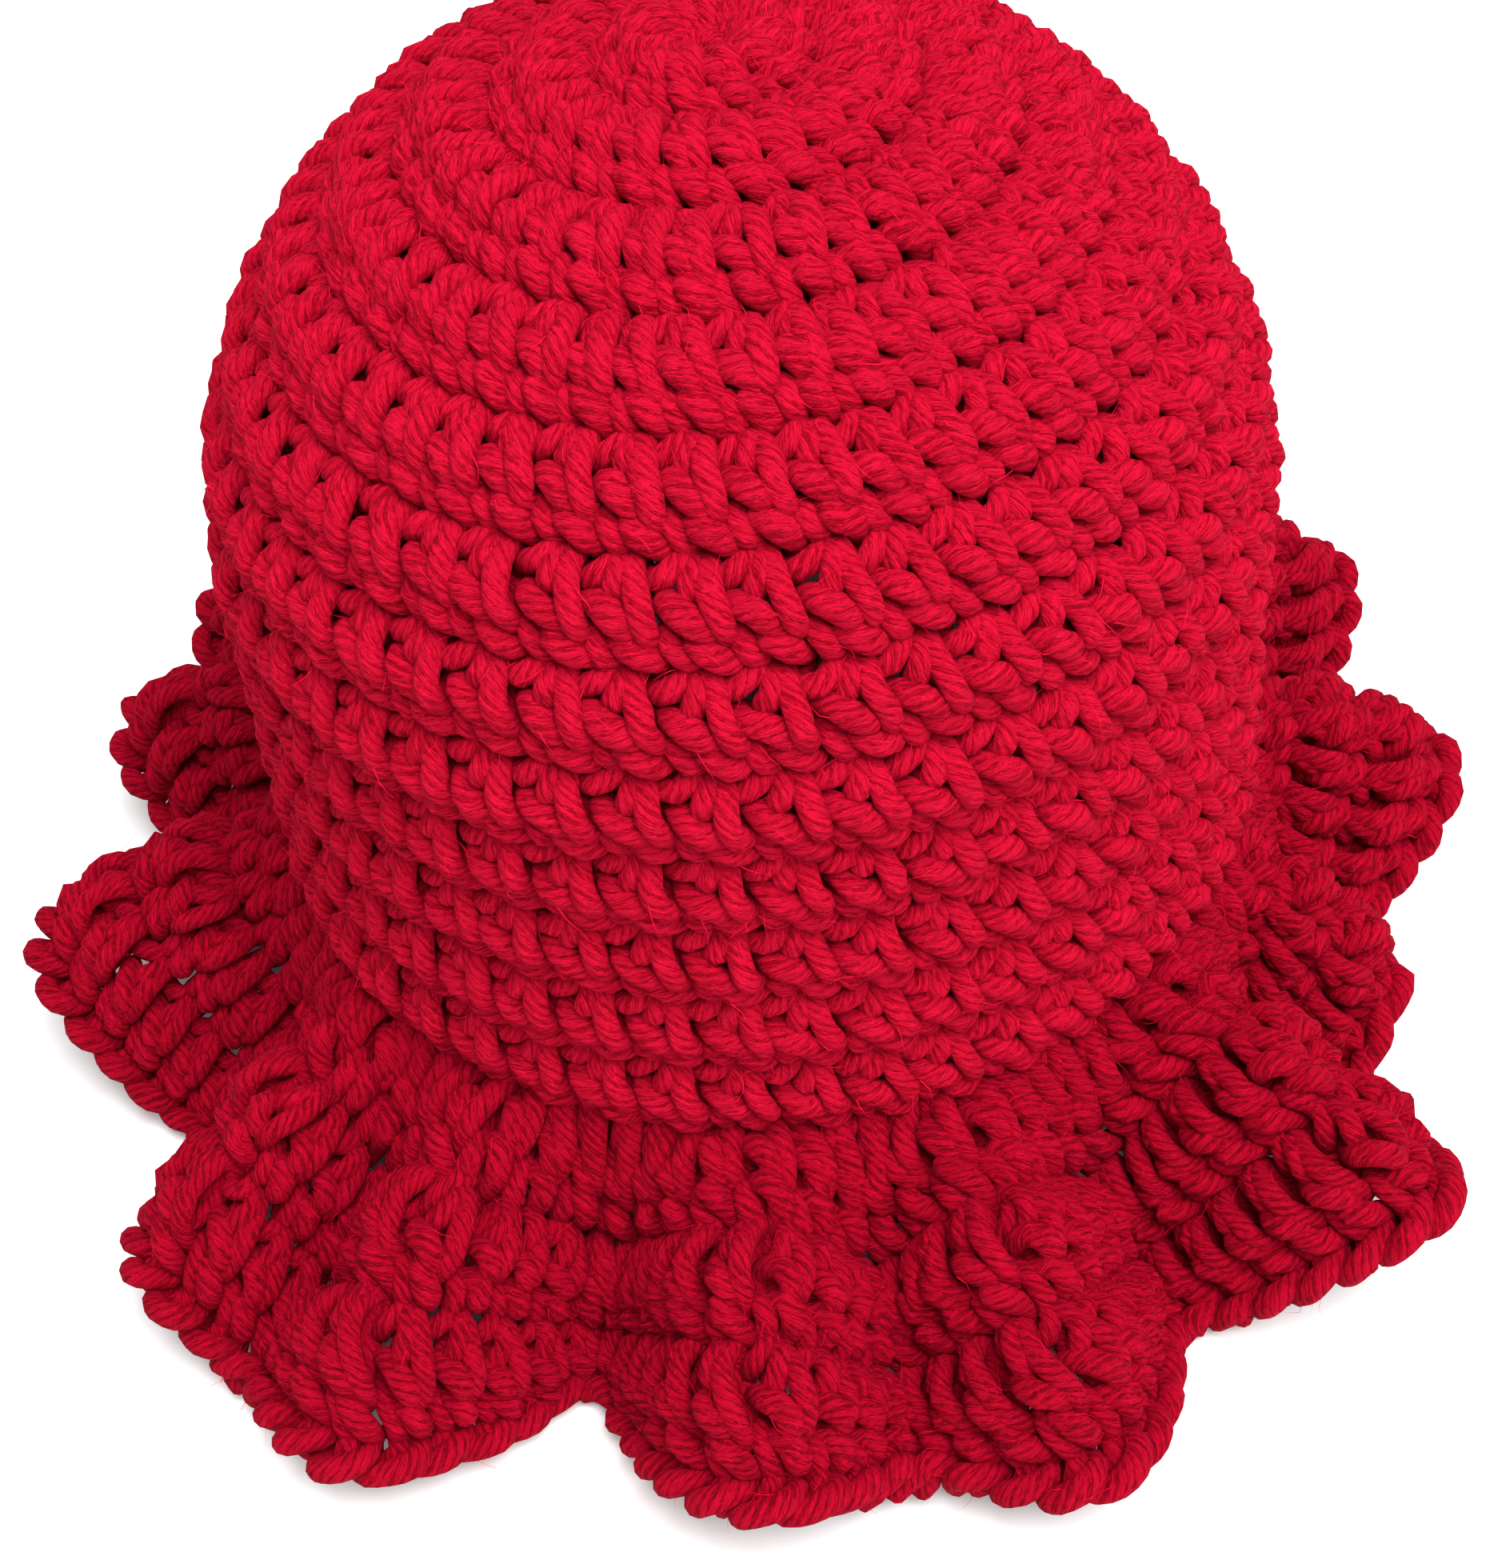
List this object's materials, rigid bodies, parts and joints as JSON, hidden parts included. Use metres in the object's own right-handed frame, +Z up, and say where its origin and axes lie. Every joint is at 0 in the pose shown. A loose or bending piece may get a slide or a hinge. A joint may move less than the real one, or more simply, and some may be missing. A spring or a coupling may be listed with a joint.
{
  "type": "ruffled crochet hat",
  "caption": "Round crocheted cap in double-crochet rounds with a full ruffled brim and a corded edging, standing on its brim.",
  "frame": {"origin": "on the surface that the hat stands on, under the middle of its outline", "axes": "+Z up through the crown, -Y to the front of the hat"},
  "size_m": [0.2184, 0.2282, 0.1528],
  "materials": {
    "cap_yarn": "plied acrylic yarn, soft sheen",
    "brim_yarn": "plied acrylic yarn, soft sheen"
  },
  "bodies": {
    "root": {"starting_ring": "cap_yarn", "cap_round_01": "cap_yarn", "cap_round_02": "cap_yarn", "cap_round_03": "cap_yarn", "cap_round_04": "cap_yarn", "cap_round_05": "cap_yarn", "cap_round_06": "cap_yarn", "cap_round_07": "cap_yarn", "cap_round_08": "cap_yarn", "cap_round_09": "cap_yarn", "cap_round_10": "cap_yarn", "cap_round_11": "cap_yarn", "cap_round_12": "cap_yarn", "brim_round_1": "brim_yarn", "brim_round_2": "brim_yarn", "brim_round_3": "brim_yarn", "brim_edging": "brim_yarn", "start_tail": "cap_yarn", "finish_tail": "brim_yarn"}
  },
  "joints": []
}
